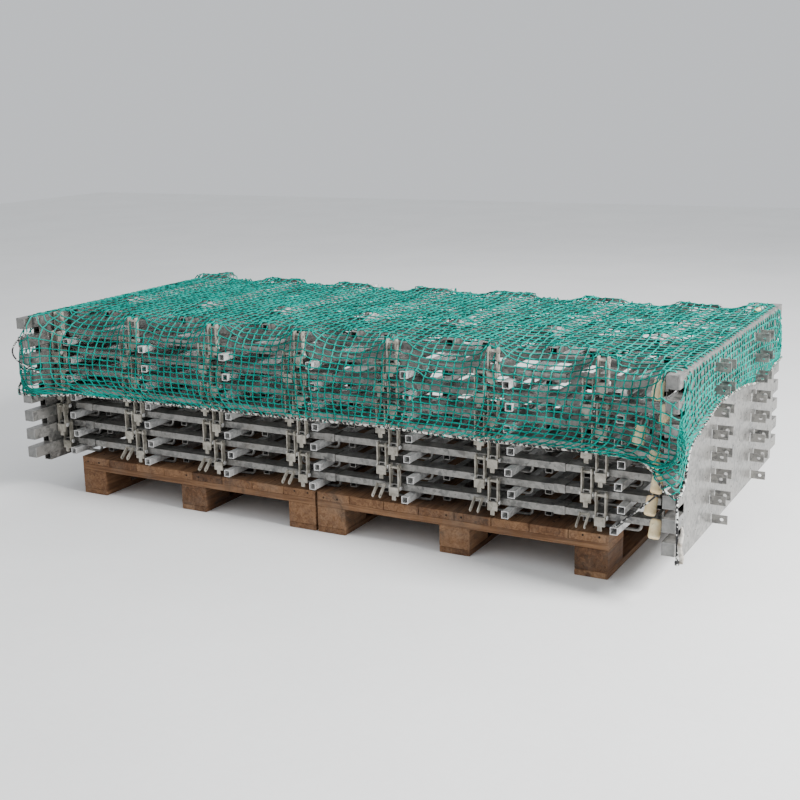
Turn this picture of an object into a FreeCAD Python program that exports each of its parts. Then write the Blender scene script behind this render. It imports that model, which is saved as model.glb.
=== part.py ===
import FreeCAD, Part
import math
import os
import re

import Sketcher

# A palletised load: eight self-locking feed-barrier panels with seven places each, lying flat on two
# block pallets under a knotted load net.  Millimetres, +Z up, X along the panels, Y into the load.
# The origin is on the floor under the centre of the panel stack.

SIZES = [
    ("pallet_length", 1045, "front of one pallet"),
    ("pallet_depth", 1180, "pallet, front to back"),
    ("pallet_gap", 8, "gap between the two pallets"),
    ("pallet_left", -1101, "left end of the left pallet"),
    ("pallet_front", -516, "front edge of both pallets"),
    ("deck_thickness", 28, "deck boards"),
    ("stringer_thickness", 22, "stringer boards under the deck"),
    ("block_height", 74, "pallet blocks"),
    ("bottom_thickness", 20, "bottom boards"),
    ("board_width", 110, "blocks and bottom boards, across"),
    ("block_depth", 145, "blocks and stringers, along Y"),
    ("layer_pitch", 70, "one post on one stacking tube"),
    ("first_base", 130.5, "underside of the first stacking tubes, beside the deck"),
    ("post_side", 40, "square end post"),
    ("post_wall", 2.5, "end post wall"),
    ("post_length", 1296, "end post, front to back"),
    ("post_x", 1220, "centre line of the end posts"),
    ("foot_side", 30, "square stacking tube under the post"),
    ("foot_length", 1140, "stacking tube, front to back"),
    ("thin_wall", 2, "wall of the lighter tubes"),
    ("rail_length", 2400, "rails between the posts"),
    ("rail_height", 22, "all rails, upright in the stack"),
    ("rail_z", 52, "underside of the rails"),
    ("bar_side", 24, "neck bars and fixed bars"),
    ("bar_z", 37, "axis of the neck bars"),
    ("place_pitch", 357, "distance between two places"),
    ("place_shift", -41, "middle place off the panel centre"),
    ("neck_front", -536, "front ends of the neck bars"),
    ("neck_length", 722, "neck bar"),
    ("pivot_y", 150, "neck bar pivots and their rail"),
    ("heel_y", 410, "bottom rail"),
    ("pin_radius", 5, "neck bar pivot pin"),
    ("pin_foot", 13.5, "lower end of the pivot pins, level with the guide loops"),
    ("pin_gap", 0.08, "running clearance of a pin in its hole, radial"),
    ("rod_radius", 5, "round bar of loops and handles"),
    ("loop_width", 150, "guide loop, between rod centres"),
    ("loop_drop", 33.5, "guide loop below the rail"),
    ("control_y", -473, "centre of the sliding control bar"),
    ("control_depth", 26, "control bar, front to back"),
    ("fixed_y", -443, "centre of the fixed front rail"),
    ("fixed_depth", 30, "fixed front rail, front to back"),
    ("latch_y", -500, "latch pivots"),
    ("latch_z", 63, "latch pivots above the layer base"),
    ("latch_side", 23, "half the stagger of the latches"),
    ("latch_shift", -87, "latches beside their neck bar"),
    ("latch_forward", 22.5, "first latch of an even layer, in front of its neighbours"),
    ("cheek_thickness", 4, "latch cheek"),
    ("cheek_width", 18, "latch cheek"),
    ("cheek_length", 91, "latch cheek"),
    ("bolt_radius", 4, "latch bolts"),
    ("ear_thickness", 5, "hinge ear"),
    ("ear_length", 52, "hinge ear, outwards"),
    ("ear_height", 28, "hinge ear"),
    ("ear_hole_radius", 6, "hole in a hinge ear"),
    ("ear_hole_x", 34, "hole from the post face"),
    ("ear_y", 257, "hinge ears from the centre"),
    ("ear_spacing", 60, "two ears of one pair"),
    ("cap_thickness", 5, "end cap face"),
    ("grip_radius", 18, "hand grip"),
    ("grip_length", 58, "hand grip"),
    ("net_thickness", 1.5, "knotted net"),
    ("net_x", 1300, "net, half length"),
    ("net_y", 662, "net, half depth"),
    ("net_top", 710, "underside of the net on top"),
    ("hem_cord_radius", 4, "elastic hem cord"),
    ("hook_cord_radius", 3, "elastic tie"),
]
LAYERS = 8
PLACES = 7
MOVING_LAYER = 3
TURNED_LAYER = 8
# Where each panel's hand grip stopped along X, and how far its neck bars lean (degrees).
GRIP_X = [1152, 1138, 1155, 1144, 1097, 1175, 1150, 1175]
NECK_LEAN = [-0.9, 0.9, 0.0, 0.7, -0.3, 0.2, -0.6, 0.4]
UPSIDE_DOWN = FreeCAD.Rotation(FreeCAD.Vector(1, 0, 0), 180)
HALF_TURN = FreeCAD.Rotation(FreeCAD.Vector(0, 0, 1), 180)

os.makedirs("parts", exist_ok=True)
doc = FreeCAD.newDocument("HeadlockLoad")
sheet = doc.addObject("Spreadsheet::Sheet", "Sizes")
for row, (alias, number, note) in enumerate(SIZES, 1):
    sheet.set("A%d" % row, note)
    sheet.set("B%d" % row, str(number))
    sheet.setAlias("B%d" % row, alias)
doc.recompute()


def value(alias):
    return float(sheet.get(alias))


def sized(text):
    """Turn a sum of sheet names and numbers into an expression."""
    return re.sub(r"[a-z]\w*", lambda match: "Sizes." + match.group(0), text)


def bind(item, **properties):
    for name, text in properties.items():
        item.setExpression(name, sized(text))


def locate(item, x="0", y="0", z="0"):
    for axis, text in zip("xyz", (x, y, z)):
        item.setExpression("Placement.Base." + axis, sized(text))
    return item


def box(name, length, width, height, x="0", y="0", z="0"):
    item = doc.addObject("Part::Box", name)
    bind(item, Length=length, Width=width, Height=height)
    return locate(item, x, y, z)


def cylinder(name, radius, height, axis, x="0", y="0", z="0"):
    item = doc.addObject("Part::Cylinder", name)
    bind(item, Radius=radius, Height=height)
    item.Placement.Rotation = FreeCAD.Rotation(FreeCAD.Vector(0, 0, 1), axis)
    return locate(item, x, y, z)


def group(name, items, turn=None, x="0", y="0", z="0"):
    """A compound that keeps its pieces as separate solids."""
    item = doc.addObject("Part::Compound", name)
    item.Links = items
    if turn is not None:
        item.Placement.Rotation = turn
    return locate(item, x, y, z)


def fuse(name, items):
    item = doc.addObject("Part::MultiFuse", name)
    item.Shapes = items
    return item


def cut(name, base, tool):
    item = doc.addObject("Part::Cut", name)
    item.Base = base
    item.Tool = tool
    return item


def row(name, source, positions):
    """Copies of one piece, moved by (x, y, z) texts."""
    copies = [group("%s_%d" % (name, number), [source], None, *spot)
              for number, spot in enumerate(positions, 1)]
    return group(name, copies)


def plane_of(body, role):
    return next(item for item in body.Origin.OriginFeatures if item.Role == role)


def centred_rectangle(sketch, wide, tall):
    """A rectangle round the sketch origin, sized by the sheet."""
    first = sketch.GeometryCount
    corner = [FreeCAD.Vector(x, y, 0) for x, y in ((-9, -7), (9, -7), (9, 7), (-9, 7))]
    for side in range(4):
        sketch.addGeometry(Part.LineSegment(corner[side], corner[(side + 1) % 4]), False)
    for side in range(4):
        sketch.addConstraint(Sketcher.Constraint("Coincident", first + side, 2, first + (side + 1) % 4, 1))
    for kind, side in (("Horizontal", 0), ("Vertical", 1), ("Horizontal", 2), ("Vertical", 3)):
        sketch.addConstraint(Sketcher.Constraint(kind, first + side))
    sketch.addConstraint(Sketcher.Constraint("Symmetric", first, 1, first + 2, 1, -1, 1))
    for kind, side, text in (("DistanceX", first, wide), ("DistanceY", first + 1, tall)):
        number = sketch.addConstraint(Sketcher.Constraint(kind, side, 1, side, 2, 10.0))
        sketch.setExpression("Constraints[%d]" % number, sized(text))


def tube(name, wide, tall, wall, length, role):
    """A hollow rectangular tube centred on its own origin, along the normal of one origin plane."""
    body = doc.addObject("PartDesign::Body", name)
    section = body.newObject("Sketcher::SketchObject", name + "_section")
    section.AttachmentSupport = (plane_of(body, role), [""])
    section.MapMode = "FlatFace"
    centred_rectangle(section, wide, tall)
    centred_rectangle(section, "%s-2*%s" % (wide, wall), "%s-2*%s" % (tall, wall))
    pad = body.newObject("PartDesign::Pad", name + "_pad")
    pad.Profile = section
    pad.setExpression("Length", sized(length))
    pad.Midplane = True
    section.Visibility = False
    return body


def bent_path(points, bend):
    """Straight runs joined by tangent arcs."""
    corners = [FreeCAD.Vector(*point) for point in points]
    edges = []
    start = corners[0]
    for before, corner, after in zip(corners, corners[1:], corners[2:]):
        incoming = (before - corner).normalize()
        outgoing = (after - corner).normalize()
        half_turn = (math.pi - incoming.getAngle(outgoing)) / 2
        shorter = min((before - corner).Length, (after - corner).Length)
        setback = min(bend * math.tan(half_turn), 0.45 * shorter)
        radius = setback / math.tan(half_turn)
        inward = (incoming + outgoing).normalize()
        middle = corner + inward * (math.hypot(setback, radius) - radius)
        entry = corner + incoming * setback
        leave = corner + outgoing * setback
        edges.append(Part.LineSegment(start, entry).toShape())
        edges.append(Part.Arc(entry, middle, leave).toShape())
        start = leave
    edges.append(Part.LineSegment(start, corners[-1]).toShape())
    return Part.Wire(edges)


def rod(name, points, radius, bend):
    """A round bar or cord along a bent path."""
    path = bent_path(points, bend)
    first = path.Edges[0]
    circle = Part.makeCircle(radius, first.valueAt(first.FirstParameter), first.tangentAt(first.FirstParameter))
    item = doc.addObject("Part::Feature", name)
    item.Shape = path.makePipeShell([Part.Wire(circle)], True, False)
    return item


def place_x(place, extra="0"):
    return "%d*place_pitch+place_shift+%s" % (place - 4, extra)


def latch_spots(odd):
    """Latches of even layers stand further left; the first place has no room for that, so it stands in front."""
    spots = []
    for place in range(1, PLACES + 1):
        shared = odd or place == 1
        spots.append((place_x(place, "latch_shift+latch_side" if shared else "latch_shift-latch_side"),
                      "-latch_forward" if place == 1 and not odd else "0"))
    return spots


# ---------------------------------------------------------------- pallets
def pallet_pieces():
    far_pallet = "pallet_length+pallet_gap"
    block_steps = ["0", "(pallet_length-board_width)/2", "pallet_length-board_width"]
    depth_steps = ["0", "(pallet_depth-block_depth)/2", "pallet_depth-block_depth"]
    boards = 8
    deck_board = box("deck_board", "pallet_length/8-1", "pallet_depth", "deck_thickness",
                     "pallet_left+0.5", "pallet_front", "bottom_thickness+block_height+stringer_thickness")
    stringer = box("stringer_board", "pallet_length", "block_depth", "stringer_thickness",
                   "pallet_left", "pallet_front", "bottom_thickness+block_height")
    block = box("block", "board_width", "block_depth", "block_height",
                "pallet_left", "pallet_front", "bottom_thickness")
    bottom = box("bottom_board", "board_width", "pallet_depth", "bottom_thickness",
                 "pallet_left", "pallet_front")
    both = ["0", far_pallet]
    row("pallet_deck_boards", deck_board,
        [("%s+%d*pallet_length/8" % (side, number), "0", "0") for side in both for number in range(boards)])
    row("pallet_stringer_boards", stringer, [(side, step, "0") for side in both for step in depth_steps])
    row("pallet_blocks", block,
        [(side + "+" + across, step, "0") for side in both for across in block_steps for step in depth_steps])
    row("pallet_bottom_boards", bottom, [(side + "+" + across, "0", "0") for side in both for across in block_steps])
    return ["pallet_deck_boards", "pallet_stringer_boards", "pallet_blocks", "pallet_bottom_boards"]


# ---------------------------------------------------------------- pieces of one panel
def ear(name):
    plate = box(name + "_plate", "ear_length", "ear_thickness", "ear_height",
                "post_x+post_side/2", "-ear_thickness/2", "24-ear_height/2")
    hole = cylinder(name + "_hole", "ear_hole_radius", "4*ear_thickness", FreeCAD.Vector(0, 1, 0),
                    "post_x+post_side/2+ear_hole_x", "-2*ear_thickness", "24")
    return cut(name, plate, hole)


def end_frame(paired):
    """Both end posts with their stacking tubes and hinge ears."""
    tag = "paired" if paired else "single"
    post = tube("post_" + tag, "post_side", "post_side", "post_wall", "post_length", "XZ_Plane")
    foot = tube("foot_" + tag, "foot_side", "foot_side", "thin_wall", "foot_length", "XZ_Plane")
    plate = ear("ear_" + tag)
    offsets = ["-ear_spacing/2", "ear_spacing/2"] if paired else ["0"]
    ears = row("ears_" + tag, plate, [("0", side + "*ear_y+" + offset, "0")
                                      for side in ("-1", "1") for offset in offsets])
    posts = row("posts_" + tag, post, [(side + "*post_x", "0", "foot_side+post_side/2") for side in ("-1", "1")])
    feet = row("feet_" + tag, foot, [(side + "*(post_x+5)", "0", "foot_side/2") for side in ("-1", "1")])
    far_ears = group("far_ears_" + tag, [ears], HALF_TURN)
    return group("end_frame_" + tag, [posts, feet, ears, far_ears])


def guide_loop():
    half = value("loop_width") / 2
    top = value("rail_z")
    low = top - value("loop_drop")
    side = value("fixed_y")
    points = [(-half, side, top), (-half, side, low), (half, side, low), (half, side, top)]
    return rod("guide_loop", points, value("rod_radius"), 14)


def latch_hinge(name, forward):
    """Strap over both front rails with two ears and the pivot bolt of a latch."""
    pivot_y = "latch_y-" + forward
    strap = box(name + "_strap", "24", "72+" + forward, "3", "-12", pivot_y + "-6", "rail_z+rail_height+1")
    ears = [box("%s_ear_%d" % (name, number), "4", "12", "rail_z+rail_height+7.5-latch_z",
                x, pivot_y + "-6", "latch_z-6.5") for number, x in enumerate(("-12", "8"))]
    whole = fuse(name + "_plates", [strap] + ears)
    hole = cylinder(name + "_hole", "bolt_radius+pin_gap", "40", FreeCAD.Vector(1, 0, 0), "-20", pivot_y, "latch_z")
    back = box(name + "_back", "24", "10", "3", "-12", "fixed_y+fixed_depth/2-10", "rail_z+rail_height")
    shank = cylinder(name + "_shank", "bolt_radius", "42", FreeCAD.Vector(1, 0, 0), "-21", pivot_y, "latch_z")
    return group(name, [cut(name + "_drilled", whole, hole), back, shank])


def latch():
    """Two cheeks on a base plate with a tongue, and a bolt across the top."""
    low = "latch_z-10"
    cheeks = [box("cheek_%s" % name, "cheek_thickness", "cheek_width", "cheek_length",
                  x, "latch_y-cheek_width/2", low) for name, x in (("left", "-17.5"), ("right", "13.5"))]
    plate = box("latch_plate", "35", "4", "24", "-17.5", "latch_y-cheek_width/2-4", "latch_z-26")
    web = box("latch_web", "35", "4", "13", "-17.5", "latch_y-cheek_width/2-4", "latch_z-10")
    tongue = box("latch_tongue", "14", "4", "18", "-7", "latch_y-cheek_width/2-4", "latch_z-41")
    bolt = cylinder("latch_bolt", "bolt_radius", "42", FreeCAD.Vector(1, 0, 0), "-21", "latch_y", "latch_z+70")
    heads = [cylinder("latch_head_%d" % number, "bolt_radius+3", "3", FreeCAD.Vector(1, 0, 0),
                      x, "latch_y", "latch_z+70") for number, x in enumerate(("-20.5", "17.5"))]
    hole = cylinder("latch_hole", "bolt_radius+pin_gap", "60", FreeCAD.Vector(1, 0, 0), "-30", "latch_y", "latch_z")
    return cut("latch", fuse("latch_solid", cheeks + [plate, web, tongue, bolt] + heads), hole)


def collar():
    """A sleeve round the control bar, made of three plates on the fixed rail."""
    long_side = "control_depth+fixed_depth+6"
    front = "control_y-control_depth/2-3.5"
    top = box("collar_top", "37", long_side, "2.5", "-18.5", front, "rail_z+rail_height+0.5")
    low = box("collar_low", "37", long_side, "2", "-18.5", front, "rail_z-2.5")
    face = box("collar_face", "37", "3", "rail_height+1", "-18.5", front, "rail_z-0.5")
    return group("collar", [top, low, face])


def lattice(tag, hinges, loop, sleeve, rails, bars):
    """Rails, fixed bars, guide loops, latch hinges, pivot pins and sleeves of one panel."""
    fixed_bar, pin = bars
    bar_spots = [(place_x(place, extra), "0", "0") for place in range(1, PLACES + 1) for extra in ("105", "232")
                 if not (place == PLACES and extra == "232")]
    bar_spots.append((place_x(1, "-53"), "0", "0"))
    pieces = list(rails)
    pieces.append(row("fixed_bars_" + tag, fixed_bar, bar_spots))
    pieces.append(row("guide_loops_" + tag, loop, [(place_x(place, "-30"), "0", "0")
                                                   for place in range(1, PLACES + 1)]))
    pieces.append(row("pivot_pins_" + tag, pin, [(place_x(place), "0", "0") for place in range(1, PLACES + 1)]))
    plain_hinge, forward_hinge = hinges
    for number, (x, forward) in enumerate(latch_spots(tag == "odd"), 1):
        hinge = plain_hinge if forward == "0" else forward_hinge
        pieces.append(group("latch_hinge_%s_%d" % (tag, number), [hinge], None, x))
    pieces.append(row("sleeves_" + tag, sleeve, [(spot, "0", "0") for spot in ("-1075", "-5", "826")]))
    return group("lattice_" + tag, pieces)


def rail(name, depth, y):
    body = tube(name + "_tube", depth, "rail_height", "thin_wall", "rail_length", "YZ_Plane")
    return group(name, [body], None, "0", y, "rail_z+rail_height/2")


def control_bar():
    body = tube("control_tube", "control_depth", "rail_height", "thin_wall", "rail_length-96", "YZ_Plane")
    return group("control_piece", [body], None, "8", "control_y", "rail_z+rail_height/2")


def fixed_bar():
    body = tube("fixed_bar_tube", "bar_side", "bar_side", "thin_wall", "heel_y-fixed_y+28", "XZ_Plane")
    return group("fixed_bar", [body], None, "0", "(heel_y+fixed_y)/2", "rail_z-bar_side/2")


def pivot_pin():
    shank = cylinder("pin_shank", "pin_radius", "rail_z+rail_height+3-pin_foot", FreeCAD.Vector(0, 0, 1),
                     "0", "pivot_y", "pin_foot")
    head = cylinder("pin_head", "pin_radius+3", "4", FreeCAD.Vector(0, 0, 1),
                    "0", "pivot_y", "rail_z+rail_height+1")
    nut = cylinder("pin_nut", "pin_radius+3", "bar_z-bar_side/2-pin_foot-0.5", FreeCAD.Vector(0, 0, 1),
                   "0", "pivot_y", "pin_foot")
    return fuse("pivot_pin", [shank, head, nut])


def drilled_rail(name, y):
    """The pivot rail with one hole for each pin."""
    whole = rail(name + "_whole", "26", y)
    hole = cylinder(name + "_hole", "pin_radius", "60", FreeCAD.Vector(0, 0, 1), "0", y, "rail_z-20")
    holes = row(name + "_holes", hole, [(place_x(place), "0", "0") for place in range(1, PLACES + 1)])
    return cut(name, whole, holes)


def neck_bar():
    """The swinging bar of one place, its pivot at the piece's own origin."""
    body = tube("neck_tube", "bar_side", "bar_side", "thin_wall", "neck_length", "XZ_Plane")
    moved = group("neck_moved", [body], None, "0", "neck_front+neck_length/2-pivot_y", "0")
    hole = cylinder("neck_hole", "pin_radius+pin_gap", "60", FreeCAD.Vector(0, 0, 1), "0", "0", "-30")
    return cut("neck_bar", moved, hole)


def end_cap():
    face = box("cap_face", "post_side", "cap_thickness", "post_side",
               "-post_side/2", "-post_length/2-cap_thickness", "foot_side")
    plug = box("cap_plug", "post_side-2*post_wall", "18", "post_side-2*post_wall",
               "-post_side/2+post_wall", "-post_length/2", "foot_side+post_wall")
    return fuse("end_cap", [face, plug])


def caps():
    one = end_cap()
    front = row("front_caps", one, [(side + "*post_x", "0", "0") for side in ("-1", "1")])
    back = group("back_caps", [front], HALF_TURN)
    return group("all_caps", [front, back])


# The grip sits on the last run of the arm, which leans forward by this angle from straight down.
GRIP_ANGLE = 30
GRIP_START = 14
GRIP_SEAT = 15


def along_grip(knee_y, knee_z, distance):
    angle = math.radians(GRIP_ANGLE)
    return (0, knee_y - distance * math.sin(angle), knee_z - distance * math.cos(angle))


def handle_arm():
    top = value("rail_z") + value("rail_height")
    bar_y = value("control_y")
    knee_y, knee_z = bar_y - 59, top + 34
    end = along_grip(knee_y, knee_z, GRIP_START + GRIP_SEAT)
    return rod("handle_arm", [(0, bar_y, top), (0, bar_y, knee_z), (0, knee_y, knee_z), end],
               value("rod_radius"), 12)


def hand_grip():
    barrel = doc.addObject("Part::Cylinder", "grip_barrel")
    bind(barrel, Radius="grip_radius", Height="grip_length")
    rounded = doc.addObject("Part::Fillet", "grip_round")
    rounded.Base = barrel
    doc.recompute()
    rims = [number for number, edge in enumerate(barrel.Shape.Edges, 1) if edge.Closed and len(edge.Vertexes) == 1]
    rounded.Edges = [(number, 3.0, 3.0) for number in rims]
    bore = doc.addObject("Part::Cylinder", "grip_bore")
    bind(bore, Radius="rod_radius+pin_gap", Height="%d" % GRIP_SEAT)
    whole = cut("grip_whole", rounded, bore)
    start = along_grip(-59, 34, GRIP_START)
    lean = FreeCAD.Rotation(FreeCAD.Vector(1, 0, 0), 180 - GRIP_ANGLE)
    return group("hand_grip", [whole], lean, "0", "control_y%+.4f" % start[1], "rail_z+rail_height%+.4f" % start[2])


# ---------------------------------------------------------------- the eight panels
def layer_z(layer):
    return "first_base+%d*layer_pitch" % (layer - 1)


def panel_nodes(parts, layer):
    """Nodes of one panel; the top one has its working parts turned over."""
    turned = layer == TURNED_LAYER
    odd = "odd" if layer % 2 else "even"
    name = "panel_%d_" % layer
    base = layer_z(layer)
    turn = UPSIDE_DOWN if turned else None
    lattice_z = base + "+100" if turned else base
    handle_z = base + "-rail_z+26" if turned else base
    grip_x = str(GRIP_X[layer - 1])
    ends = parts["ends_single" if layer == 1 else "ends_paired"]
    frame_pieces = [group(name + "ends", [ends], None, "0", "0", base),
                    group(name + "lattice", [parts["lattice_" + odd]], turn, "0", "0", lattice_z)]
    handle_turn = HALF_TURN if turned else None
    arm = group(name + "handle_arm", [parts["arm"]], handle_turn, grip_x, "0", handle_z)
    grip = group(name + "handle_grip", [parts["grip"]], handle_turn, grip_x, "0", handle_z)
    bar = group(name + "control_bar", [parts["control"]], turn, "%s-1150" % grip_x, "0", lattice_z)
    cap_group = group(name + "caps", [parts["caps"]], None, "0", "0", base)
    necks = []
    latches = []
    for place in range(1, PLACES + 1):
        lean = FreeCAD.Rotation(FreeCAD.Vector(0, 0, 1), NECK_LEAN[layer - 1])
        neck_turn = UPSIDE_DOWN.multiply(lean) if turned else lean
        neck_y = "-pivot_y" if turned else "pivot_y"
        neck_z = base + "+100-bar_z" if turned else base + "+bar_z"
        necks.append(group(name + "neck_bar_%d" % place, [parts["neck"]], neck_turn,
                           place_x(place), neck_y, neck_z))
        latch_x, forward = latch_spots(layer % 2 == 1)[place - 1]
        latch_y = forward.replace("-", "") if turned else forward
        latches.append(group(name + "latch_%d" % place, [parts["latch"]], turn, latch_x, latch_y, lattice_z))
    if layer == MOVING_LAYER:
        group(name + "frame", frame_pieces)
        group(name + "control", [bar, arm])
        group(name + "end_caps", [cap_group])
        group(name + "grip", [grip])
        return ([name + part for part in ("frame", "control", "end_caps", "grip")]
                + [item.Label for item in necks + latches])
    group(name + "frame", frame_pieces + [bar, arm])
    group(name + "neck_bars", necks)
    group(name + "latches", latches)
    group(name + "plastics", [cap_group, grip])
    return [name + part for part in ("frame", "neck_bars", "latches", "plastics")]


def all_panels():
    hinges = (latch_hinge("latch_hinge", "0"), latch_hinge("forward_hinge", "latch_forward"))
    loop = guide_loop()
    sleeve = collar()
    rails = [rail("fixed_front_rail", "fixed_depth", "fixed_y"), drilled_rail("pivot_rail", "pivot_y"),
             rail("bottom_rail", "26", "heel_y")]
    bars = (fixed_bar(), pivot_pin())
    parts = {
        "ends_single": end_frame(False),
        "ends_paired": end_frame(True),
        "lattice_odd": lattice("odd", hinges, loop, sleeve, rails, bars),
        "lattice_even": lattice("even", hinges, loop, sleeve, rails, bars),
        "control": control_bar(),
        "neck": neck_bar(),
        "latch": latch(),
        "caps": caps(),
        "arm": handle_arm(),
        "grip": hand_grip(),
    }
    return [node for layer in range(1, LAYERS + 1) for node in panel_nodes(parts, layer)]


# ---------------------------------------------------------------- net and cords
# Hem heights of the net; its walls stop short of the upright corners, where the cord rounds them.
FRONT_HEM = 405
SIDE_HEM = 478
CORNER_HEM = 338
CORNER_GAP = 24


def net_pieces():
    """The net as thin plates: top, four skirts and the gathered front right corner."""
    long_wall = "2*net_x-%d" % (2 * CORNER_GAP)
    deep_wall = "2*net_y-%d" % (2 * CORNER_GAP)
    wall_x = "%d-net_x" % CORNER_GAP
    wall_y = "%d-net_y" % CORNER_GAP
    top = box("net_roof", "2*net_x", "2*net_y", "net_thickness", "-net_x", "-net_y", "net_top")
    front = box("net_front", long_wall, "net_thickness", "net_top-%d" % FRONT_HEM, wall_x, "-net_y", "%d" % FRONT_HEM)
    back = box("net_back", long_wall, "net_thickness", "net_top-%d" % SIDE_HEM,
               wall_x, "net_y-net_thickness", "%d" % SIDE_HEM)
    left = box("net_left", "net_thickness", deep_wall, "net_top-%d" % SIDE_HEM, "-net_x", wall_y, "%d" % SIDE_HEM)
    right = box("net_right", "net_thickness", deep_wall, "net_top-%d" % SIDE_HEM,
                "net_x-net_thickness", wall_y, "%d" % SIDE_HEM)
    front_flap = box("net_front_flap", "%d" % (120 - CORNER_GAP), "net_thickness", "%d" % (FRONT_HEM - CORNER_HEM),
                     "net_x-120", "-net_y", "%d" % CORNER_HEM)
    side_flap = box("net_side_flap", "net_thickness", "%d" % (90 - CORNER_GAP), "%d" % (SIDE_HEM - CORNER_HEM),
                    "net_x-net_thickness", wall_y, "%d" % CORNER_HEM)
    group("load_net", [top, front, back, left, right, front_flap, side_flap])
    return ["load_net"]


def cord_pieces():
    """The elastic hem cord with its knotted tail, its slack loop and the tie hooked over a neck bar."""
    hem = value("hem_cord_radius")
    out_x = value("net_x") + hem + 0.5
    out_y = value("net_y") + hem + 0.5
    hem_points = [
        (-60, out_y, SIDE_HEM), (-out_x, out_y, SIDE_HEM), (-out_x, -out_y + 120, SIDE_HEM),
        (-out_x, -out_y, FRONT_HEM), (1150, -out_y, FRONT_HEM), (out_x - 60, -out_y, CORNER_HEM),
        (out_x, -out_y, CORNER_HEM), (out_x, -out_y + 110, SIDE_HEM), (out_x, out_y, SIDE_HEM),
        (-40, out_y, SIDE_HEM)]
    cord = rod("hem_cord", hem_points, hem, 30)
    front_y = -out_y - 2 * hem - 1
    slack = rod("slack_loop", [(-1171, front_y, 643), (-1262, front_y, 600), (-1262, front_y, 528),
                               (-1135, front_y, 497)], value("hook_cord_radius"), 40)
    tie = rod("hook_tie", [(1186, -out_y - hem - 3.5, 342), (1104, -616, 258), (1022, -546, 184)],
              value("hook_cord_radius"), 400)
    tail = rod("hem_tail", [(1246, front_y, CORNER_HEM), (1249, front_y, 264), (1251, front_y, 205),
                            (1252, front_y, 158)], hem, 60)
    knot = cylinder("tail_knot", "2*hem_cord_radius", "16", FreeCAD.Vector(0, 0, 1),
                    "1252", "%.1f" % front_y, "142")
    return [item.Label for item in (cord, slack, tie, tail, knot)]


nodes = pallet_pieces() + all_panels() + net_pieces() + cord_pieces()
doc.recompute()

for item in doc.Objects:
    if "Invalid" in item.State or "Error" in item.State:
        raise RuntimeError("bad object: %s %s" % (item.Label, item.State))
for node in nodes:
    shape = doc.getObjectsByLabel(node)[0].Shape
    if shape.isNull() or not shape.isValid():
        raise RuntimeError("bad shape: " + node)
    shape.exportStep("parts/%s.step" % node)
print("wrote %d parts" % len(nodes))
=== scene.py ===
import math

import bmesh
import bpy
import numpy as np
from mathutils import Matrix, Vector
from mathutils.bvhtree import BVHTree


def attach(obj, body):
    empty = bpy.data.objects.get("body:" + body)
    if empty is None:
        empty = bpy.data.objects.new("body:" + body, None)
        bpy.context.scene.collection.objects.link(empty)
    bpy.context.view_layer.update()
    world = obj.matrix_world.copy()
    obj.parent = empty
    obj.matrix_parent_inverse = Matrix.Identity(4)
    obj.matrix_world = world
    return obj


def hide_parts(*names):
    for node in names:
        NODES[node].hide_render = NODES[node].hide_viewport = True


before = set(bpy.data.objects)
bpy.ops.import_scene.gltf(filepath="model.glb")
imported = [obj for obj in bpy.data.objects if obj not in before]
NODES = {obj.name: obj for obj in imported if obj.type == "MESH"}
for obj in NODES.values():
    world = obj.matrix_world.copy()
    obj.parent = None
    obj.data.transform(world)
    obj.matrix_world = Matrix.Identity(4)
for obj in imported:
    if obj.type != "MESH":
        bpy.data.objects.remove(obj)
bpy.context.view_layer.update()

# The load: eight feed-barrier panels on two block pallets under a knotted net.  Metres, as the frame.
LAYERS = 8
PLACES = 7
MOVING_LAYER = 3
TURNED_LAYER = 8
FIRST_BASE = 0.1305
LAYER_PITCH = 0.070
PLACE_PITCH = 0.357
PLACE_SHIFT = -0.041
POST_X = 1.220
POST_HALF = 0.020
POST_END = 0.648
POST_MIDDLE_Z = 0.050
GRIP_X = [1.152, 1.138, 1.155, 1.144, 1.097, 1.175, 1.150, 1.175]

# The two pallets stand side by side.
PALLET_LEFTS = (-1.101, -0.048)
PALLET_FRONT = -0.516
PALLET_DEPTH = 1.180
BOARD_STEP = 0.130625
BLOCK_STEP = 0.4675


def layer_base(layer):
    return FIRST_BASE + LAYER_PITCH * (layer - 1)


def place_x(place):
    return (place - 4) * PLACE_PITCH + PLACE_SHIFT


def body_of_layer(layer):
    return "panel_%d" % layer


# ---------------------------------------------------------------- camera
CAMERA_PLACE = (2.1772, -3.9823, 1.4603)
CAMERA_LENS = 56.53
CAMERA_YAW = math.radians(28.63)
CAMERA_PITCH = math.radians(13.68)
CAMERA_ROLL = math.radians(-1.21)


def make_camera():
    """A camera that looks back and to the left over the front right corner, slightly down."""
    yaw, pitch, roll = CAMERA_YAW, CAMERA_PITCH, CAMERA_ROLL
    forward = Vector((-math.sin(yaw) * math.cos(pitch), math.cos(yaw) * math.cos(pitch), -math.sin(pitch)))
    level = Vector((math.cos(yaw), math.sin(yaw), 0))
    upright = level.cross(forward)
    right = level * math.cos(roll) + upright * math.sin(roll)
    up = upright * math.cos(roll) - level * math.sin(roll)
    data = bpy.data.cameras.new("camera")
    data.sensor_width = 36
    data.lens = CAMERA_LENS
    data.clip_start = 0.05
    data.clip_end = 100
    camera = bpy.data.objects.new("camera", data)
    turn = Matrix((right, up, -forward)).transposed().to_4x4()
    camera.matrix_world = Matrix.Translation(CAMERA_PLACE) @ turn
    bpy.context.scene.collection.objects.link(camera)
    bpy.context.scene.camera = camera


make_camera()


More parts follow.
